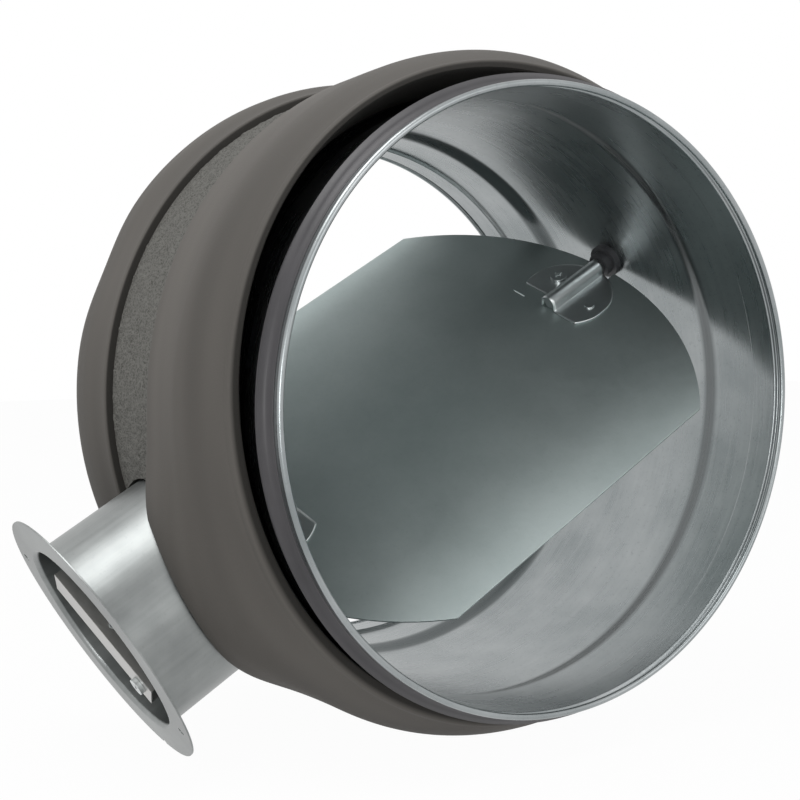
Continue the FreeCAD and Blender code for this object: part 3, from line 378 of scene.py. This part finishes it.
# How the near band hangs: pressed closer all round, and free above, to the collar's side.
LIP_PRESSED = 0.002
LIP_FREE_INSIDE = 0.0100
LIP_FREE_OUTSIDE = 0.0070
LIP_FREE_WAY = math.radians(38.0)
LIP_FREE_NARROW = 6
LIP_FADE = 1.3
NEAR_BULGE = 0.0032
NEAR_BULGE_WAY = math.radians(-105.0)
NEAR_BULGE_WIDE = 24.0
NEAR_BULGE_RISE = (0.024, 0.035)
NEAR_BULGE_FALL = (0.068, 0.026)
# How the far band bulges, less below than above, with a dent at the joint of its ends.
FAR_BULGE = 0.0040
FAR_BULGE_UNEVEN = 0.0008
FAR_DENT = 0.0025
FAR_DENT_WAY = math.radians(-24.0)
FAR_DENT_WIDE = 9.0
FAR_BULGE_RISE = (FAR_BAND_EDGE, 0.024)
FAR_BULGE_FALL = (0.200, 0.024)
# The floor limits the far band only where the sine of the way down is above this.
LEAST_SINE = 0.2
# Holes through the foam.
CUTTER_LONG = 0.2
CUT_FROM = 0.12
CUT_VERTICES = 128
COLLAR_HOLE = COLLAR_RADIUS + 0.0016
SHARP = math.radians(32)
# About 1 over the foam's radius, so that a place off the axis comes to a length of about 1.
PER_RADIUS = 6.0


def band_profile(lip, crest, edge):
    """Loop round a band: rounded lip, outer face that falls as a power of the share of the way from
    the crest to the lip, rounded edge, and the inner face along the body and out to the lip."""
    run = np.linspace(0.0, 1.0, 40)
    face = lip + LIP_CORNER + (crest - lip - LIP_CORNER) * run
    fall = (FOAM_OUTSIDE - LIP_OUTSIDE) * (1.0 - run) ** LIP_FALL
    flat = np.linspace(crest + CREST_GAP, edge - CORNER, 24)
    side = np.linspace(FOAM_OUTSIDE - EDGE_GAP, FOAM_INSIDE, 6)
    return np.concatenate([
        [(lip, LIP_INSIDE + LIP_CORNER_INSIDE)],
        arc(lip + LIP_CORNER, LIP_OUTSIDE - LIP_CORNER, LIP_CORNER, 180, 100, 9),
        np.stack([face, FOAM_OUTSIDE - fall], 1),
        np.stack([flat, np.full(len(flat), FOAM_OUTSIDE)], 1),
        arc(edge - CORNER, FOAM_OUTSIDE - CORNER, CORNER, 80, 0, 6),
        np.stack([np.full(len(side), edge), side], 1),
        [(0.5 * (edge + BODY_START), FOAM_INSIDE), (BODY_START, FOAM_INSIDE)],
        np.stack([np.linspace(CONE_PLACE, lip + LIP_CORNER_INSIDE, 8),
                  np.linspace(CONE_RADIUS, LIP_INSIDE, 8)], 1)])


def outer_share(profile):
    """1 for points of the outer face and 0 for points of the inner one."""
    return np.clip((profile[:, 1, None] - FACE_START) / FACE_RUN, 0.0, 1.0)


def round_bell(down, middle, wide):
    """Bell round the duct with its width in degrees. down is the turn counted from the level on the
    collar's side, downwards, so that -90 degrees is the top."""
    apart = np.degrees(np.angle(np.exp(1j * (down - middle))))
    return np.exp(-((apart / wide) ** 2))


def bulge_span(along, rise, fall):
    """1 between the end of the rise and the start of the fall, each given as (start, run)."""
    return smooth_step(along, *rise) * (1.0 - smooth_step(along, *fall))


def pushed_up(profile, turn):
    """What the near band's radius gains. The collar pushes up a mound: its height times the cosine
    round the collar from its near side, times a bell of the distance from the collar's wall. The
    hang of the lip is added to that."""
    ahead = (SHAFT_ALONG - profile[:, 0])[:, None]
    beside = profile[:, 1, None] * np.sin(turn)
    never_zero = 1e-9
    reach = np.sqrt(ahead ** 2 + beside ** 2) + never_zero
    bell = np.exp(-(np.maximum(reach - COLLAR_RADIUS, 0.0) / MOUND_RUN) ** 2)
    near_side = np.clip(ahead / reach, 0.0, 1.0)
    mound = MOUND * near_side * bell * outer_share(profile) * (np.cos(turn) > 0.0)
    return mound + loose_front(profile, turn)


def loose_front(profile, turn):
    """The near band's lip lies closer all round, but stands off above, on the collar's side, as a
    power of a cosine bell, more inside than outside. The crest bulges a little near the top."""
    along = profile[:, 0, None]
    above = (0.5 - 0.5 * np.sin(turn + DIP - LIP_FREE_WAY)) ** LIP_FREE_NARROW
    topmost = round_bell(turn + DIP, NEAR_BULGE_WAY, NEAR_BULGE_WIDE)
    fade = np.clip((NEAR_CREST - along) / (NEAR_CREST - NEAR_LIP), 0.0, 1.0) ** LIP_FADE
    outer = np.clip((profile[:, 1, None] - LIP_INSIDE) / (LIP_OUTSIDE - LIP_INSIDE), 0.0, 1.0)
    bulge = bulge_span(along, NEAR_BULGE_RISE, NEAR_BULGE_FALL) * outer
    free = LIP_FREE_INSIDE - (LIP_FREE_INSIDE - LIP_FREE_OUTSIDE) * outer
    return NEAR_BULGE * topmost * bulge + (free * above - LIP_PRESSED) * fade


def loose_back(profile, turn):
    """The far band stands further out at its crest, with a shallow dent where its ends meet, and
    lies flat on the floor: its radius ends where the radius times the sine of the turn does."""
    span = bulge_span(profile[:, 0, None], FAR_BULGE_RISE, FAR_BULGE_FALL)
    down = turn + DIP
    dent = round_bell(down, FAR_DENT_WAY, FAR_DENT_WIDE)
    rise = ((FAR_BULGE - FAR_BULGE_UNEVEN * np.sin(down) - FAR_DENT * dent)
            * span * outer_share(profile))
    floor = FOAM_OUTSIDE / np.maximum(np.sin(down), LEAST_SINE)
    return np.minimum(rise, floor - profile[:, 1, None])


def drilled(piece, radius, way):
    """Cuts a round hole along the shaft's line through one side of a piece: 1 is the collar's side
    and -1 the other."""
    bpy.ops.mesh.primitive_cylinder_add(vertices=CUT_VERTICES, radius=radius, depth=CUTTER_LONG)
    cutter = bpy.context.object
    outward = way * COLLAR_WAY
    middle = outward * (CUT_FROM + 0.5 * CUTTER_LONG) - np.array([SHAFT_ALONG, 0.0, 0.0])
    cutter.matrix_world = placed_by([1.0, 0.0, 0.0], np.cross(outward, [1.0, 0.0, 0.0]), outward, middle)
    cut = piece.modifiers.new("cut", "BOOLEAN")
    cut.operation = "DIFFERENCE"
    cut.solver = "EXACT"
    cut.object = cutter
    bpy.context.view_layer.update()
    graph = bpy.context.evaluated_depsgraph_get()
    mesh = bpy.data.meshes.new_from_object(piece.evaluated_get(graph))
    piece.modifiers.clear()
    piece.data = mesh
    bpy.data.objects.remove(cutter)
    smoothed(piece.data)
    piece.data.set_sharp_from_angle(angle=SHARP)


def facing_out(place):
    """About 1 where a surface faces away from the duct's axis, 0 on cut edges and -1 inside: the
    dot product of its normal and its place off the axis."""
    radial = place.node("VectorMath", {"operation": "MULTIPLY"}, n0=place,
                        n1=(0.0, PER_RADIUS, PER_RADIUS))
    return radial.node("VectorMath", {"operation": "DOT_PRODUCT"}, output="Value", n0=radial,
                       n1=place.node("TexCoord", output="Normal"))


foam, place = finish("smooth_foam")
# Painted shade: soft random bands drawn out round the foam stand in for bands of light and shade; the
# pores are the foam's own fine grain.
painted_shade_bands = place.clouds(0.035, detail=2.0, drawn=(1.0, 9.0, 9.0))
pores = place.clouds(0.0011, detail=2.0, roughness=0.6)
shade = painted_shade_bands.ramp((0.3, 0.0), (0.7, 1.0)) * 0.75 + pores * 0.25
# Painted shade: the cut edges and inner side, which face away from the outside, go near-black brown.
unshaded_share = facing_out(place).ramp((0.05, 0.0), (0.7, 1.0))
skin_colour = shade.mixed((0.070, 0.065, 0.059), (0.132, 0.123, 0.112))
surface(place, Base_Color=unshaded_share.mixed((0.026, 0.024, 0.021), skin_colour), Specular_IOR_Level=0.35,
        Roughness=0.62 + 0.2 * pores, Normal=bumped(pores, strength=0.25, distance=0.0003))

near_loop = band_profile(NEAR_LIP, NEAR_CREST, NEAR_BAND_EDGE)
far_loop = mirrored(band_profile(FAR_LIP, FAR_CREST, DUCT_LONG - FAR_BAND_EDGE))
for name, loop, raised in (("near_foam", near_loop, pushed_up), ("far_foam", far_loop, loose_back)):
    band = closed_grid(name, round_about(loop, FOAM_STEPS, raised))
    drilled(band, COLLAR_HOLE, 1)
    dress(band, foam, "casing", "smooth_foam", name + "_band")


# Between the bands lies thinner foam with a coarse, open face of small grey grains. It is cut for
# the collar and for the shaft's rear bearing.
CHANNEL_OUTSIDE = 0.1748
CHANNEL_GAP = 0.0002
REAR_HOLE = 0.0135
GRAIN = 0.00028
GRAIN_ROWS = 60
GRAIN_COLUMNS = 1000
GRAIN_CELLS = 2.0
GRAIN_SOFTNESS = 3.0
GRAIN_SEED = 7


def grains(rows, columns):
    """Seeded noise on a grid that closes on itself: white noise with its fine waves taken out."""
    noise = np.random.default_rng(GRAIN_SEED).normal(size=(rows, columns))
    wave_rows = np.fft.fftfreq(rows)[:, None] * GRAIN_CELLS
    wave_columns = np.fft.fftfreq(columns)[None, :] * GRAIN_CELLS
    kept = np.exp(-GRAIN_SOFTNESS * (wave_rows ** 2 + wave_columns ** 2))
    soft = np.fft.ifft2(np.fft.fft2(noise) * kept).real
    return soft / soft.std()


def channel_points(start, end):
    """Ring of the coarse foam: a flat loop whose outer face is roughened by grains."""
    inner_points = 4
    loop = np.concatenate([
        np.stack([np.linspace(start, end, GRAIN_ROWS), np.full(GRAIN_ROWS, CHANNEL_OUTSIDE)], 1),
        np.stack([np.linspace(end, start, inner_points), np.full(inner_points, FOAM_INSIDE)], 1)])
    lift = np.zeros((len(loop), GRAIN_COLUMNS))
    lift[1:GRAIN_ROWS - 1] = GRAIN * grains(GRAIN_ROWS, GRAIN_COLUMNS)[1:-1]
    return round_about(loop, GRAIN_COLUMNS, lambda profile, turn: lift)


coarse, place = finish("rough_foam")
grit = place.node("TexVoronoi", {"feature": "F1"}, Vector=place, Scale=900.0)
pits = place.clouds(0.0012, detail=2.0, roughness=0.7)
tone = (pits * 0.55 + grit * 0.9).ramp((0.35, 0.0), (0.85, 1.0))
surface(place, Base_Color=tone.mixed((0.066, 0.064, 0.058), (0.150, 0.148, 0.136)), Roughness=0.8,
        Specular_IOR_Level=0.3, Normal=bumped(tone, strength=0.7, distance=0.0005))
strip = closed_grid("channel_foam_strip", channel_points(NEAR_BAND_EDGE + CHANNEL_GAP,
                                                         FAR_BAND_EDGE - CHANNEL_GAP))
drilled(strip, COLLAR_HOLE, 1)
drilled(strip, REAR_HOLE, -1)
dress(strip, coarse, "casing", "rough_foam", "channel_foam")


# The collar is a short galvanised tube with its rim turned out into a flange and its foot bent to
# the round body, held by four blind rivets. It was rolled, so fine lines run along it. The shafts
# and the fasteners are plated, and the handle in the collar is duller.
collar_sheet = galvanised("collar_sheet", dark=(0.15, 0.16, 0.16), light=(0.35, 0.365, 0.36),
                          gloss=(0.30, 0.46), drawn=(1.0, 24.0, 1.0), turned=(DIP, 0.0, 0.0),
                          specks=0.1)
wear("collar", collar_sheet)
plated = galvanised("plated_steel", dark=(0.56, 0.59, 0.59), light=(0.68, 0.71, 0.71),
                    gloss=(0.3, 0.42), specks=0.0)
for node in ("collar_rivets", "front_bush_ring", "rear_bush_ring", "bracket_screws", "bracket_nuts",
             "bracket_rivets", "idle_pin", "drive_shaft", "handle_pin", "lock_screw", "lock_spacer",
             "lock_nut"):
    wear(node, plated)
wear("dial_plate", zinc)
handle_sheet = galvanised("handle_sheet", dark=(0.34, 0.34, 0.33), light=(0.48, 0.47, 0.45),
                          gloss=(0.26, 0.38), specks=0.0)
wear("handle", handle_sheet)


# Each blade bracket is pressed from 1.2 mm sheet: a half-round plate with a round-topped channel
# that straddles the shaft. Its folds are soft, and the plate is cut shorter on one side.
BLADE_ANGLE = math.radians(30.5)
PLATE_RADIUS = 0.028
PLATE_CENTRE = 0.1205
PLATE_FOOT = 0.103
PLATE_STEP = 0.0095
PLATE_SHEET = 0.0012
PLATE_LEVEL = -0.0034
PLATE_TRIM = 0.00005
FLAT_POINTS = 30
RUN_POINTS = 24
CHANNEL_RADIUS = 0.00465
CHANNEL_END = 0.149
FOLD = 0.0014
blade_turn = (Matrix.Rotation(DIP, 4, "X") @ Matrix.Translation((-SHAFT_ALONG, 0.0, 0.0))
              @ Matrix.Rotation(BLADE_ANGLE, 4, "Y"))


def formed_bracket(name, way, *nodes):
    """Half a section across the shaft: flat, a fold, a straight wall and a quarter of the round
    top, then mirrored. Each of its points is drawn out from the foot to the plate's circle. way is
    1 for the rear bracket and -1 for the front one."""
    flat = -np.linspace(PLATE_RADIUS - PLATE_TRIM, CHANNEL_RADIUS + FOLD, FLAT_POINTS)
    half = np.concatenate([
        np.stack([flat, np.full(FLAT_POINTS, PLATE_LEVEL)], 1),
        arc(-CHANNEL_RADIUS - FOLD, PLATE_LEVEL + FOLD, FOLD, -75, 0, 6),
        arc(0.0, 0.0, CHANNEL_RADIUS, 180, 90, 12)])
    section = np.concatenate([half, half[-2::-1] * (-1.0, 1.0)])
    across = section[:, 0]
    chord = np.sqrt(np.maximum(PLATE_RADIUS ** 2 - across ** 2, 0.0))
    on_channel = np.abs(across) < CHANNEL_RADIUS + 0.5 * FOLD
    foot = np.where((across < 0.0) & ~on_channel, PLATE_FOOT + PLATE_STEP, PLATE_FOOT)
    start = np.maximum(foot, PLATE_CENTRE - chord)
    end = np.where(on_channel, CHANNEL_END, PLATE_CENTRE + chord)
    share = np.linspace(0.0, 1.0, RUN_POINTS)[:, None]
    points = np.empty((RUN_POINTS, len(section), 3))
    points[..., 0] = across
    points[..., 1] = way * (start + (end - start) * share)
    points[..., 2] = section[:, 1]
    index = np.arange(RUN_POINTS * len(section)).reshape(RUN_POINTS, len(section))
    corners = np.stack([index[:-1, :-1], index[:-1, 1:], index[1:, 1:], index[1:, :-1]], -1)
    corners = corners.reshape(-1, 4)
    if way < 0:
        corners = corners[:, ::-1]
    placed = [blade_turn @ Vector(point) for point in points.reshape(-1, 3)]
    mesh = bpy.data.meshes.new(name)
    mesh.from_pydata(placed, [], corners.tolist())
    smoothed(mesh)
    piece = added(name, mesh)
    wall = piece.modifiers.new("sheet", "SOLIDIFY")
    wall.thickness = PLATE_SHEET
    wall.offset = 0.0
    dress(piece, plated, "blade", "plated_steel", *nodes)


formed_bracket("rear_bracket_sheet", 1, "rear_blade_bracket")
formed_bracket("front_bracket_sheet", -1, "front_blade_bracket")


# The shaft's bearings are turned from dark grey plastic.
plastic, place = finish("bush_plastic")
scuffs = place.clouds(0.003, roughness=0.6)
surface(place, Base_Color=scuffs.mixed((0.030, 0.031, 0.034), (0.060, 0.061, 0.065)),
        Roughness=0.42 + 0.2 * scuffs, Normal=bumped(scuffs, strength=0.2, distance=0.0002))
for node in ("front_bush", "rear_bush", "dial_bush"):
    wear(node, plastic)


# The blade is a flat galvanised disc with two straight sides. Its zinc is satin and blue-grey, with
# large soft clouds.
blade_zinc = galvanised("blade_sheet", dark=(0.38, 0.44, 0.435), light=(0.50, 0.56, 0.555),
                        gloss=(0.44, 0.6), specks=0.1)
wear("blade", blade_zinc)


# A pale floor under the damper that looks white to the camera and in reflections, a white room with
# less light than it seems to have, three soft lamps above, in front and to the right, and the camera
# where the photograph was taken from.
FLOOR = -0.1795
FLOOR_GLOW = 0.97
WHITE = (1.0, 1.0, 1.0)
ROOM_LIGHT = 0.45


def rays(place, *kinds):
    """1 for rays of the kinds named, and 0 for all others."""
    first, *others = [place.node("LightPath", output=f"Is {kind} Ray") for kind in kinds]
    return sum(others, first)


bpy.ops.mesh.primitive_plane_add(size=8.0, location=(0.0, 0.0, FLOOR))
floor = bpy.context.object
floor.name = "studio_floor"
pale, place = finish("pale_floor")
matt = place.node("BsdfDiffuse", Color=(0.86, 0.86, 0.86))
glow = place.node("Emission", Color=WHITE, Strength=1.0)
place.node("MixShader", Fac=rays(place, "Camera", "Glossy") * FLOOR_GLOW, n1=matt, n2=glow).shown()
floor.data.materials.append(pale)

world = bpy.data.worlds.new("studio")
bpy.context.scene.world = world
world.use_nodes = True
world.node_tree.nodes.clear()
sky = Socket(world.node_tree, None)
room = sky.node("Background", Color=WHITE, Strength=ROOM_LIGHT)
backdrop = sky.node("Background", Color=WHITE, Strength=1.0)
white_rays = rays(sky, "Camera", "Glossy", "Transmission")
sky.node("MixShader", Fac=white_rays, n1=room, n2=backdrop).shown("OutputWorld")


def lamp(name, place, aim, size, power):
    """Soft square lamp at a place, turned to an aim."""
    light = bpy.data.lights.new(name, "AREA")
    light.size = size
    light.energy = power
    back = np.array(place) - np.array(aim)
    back /= np.linalg.norm(back)
    side = np.cross([0.0, 0.0, 1.0], back)
    side /= np.linalg.norm(side)
    added(name, light).matrix_world = placed_by(side, np.cross(back, side), back, place)


lamp("key", place=(0.0, -0.6, 1.3), aim=(-0.11, 0.0, 0.0), size=0.9, power=9.5)
lamp("front", place=(0.9, -1.0, 0.05), aim=(-0.12, -0.1, -0.05), size=0.4, power=3.5)
lamp("fill", place=(1.3, 0.3, 0.5), aim=(-0.11, 0.0, 0.0), size=0.8, power=3.0)

view = bpy.data.cameras.new("photo_view")
view.sensor_width = 36.0
view.lens = 56.808
view.shift_y = 0.0501
view.clip_end = 20.0
camera = added("photo_view", view)
camera.location = (0.48584, -0.39277, 0.03441)
camera.rotation_euler = [math.radians(turn) for turn in (85.2907, 0.5782, 58.4096)]
bpy.context.scene.camera = camera
bpy.context.scene.view_settings.view_transform = "Standard"
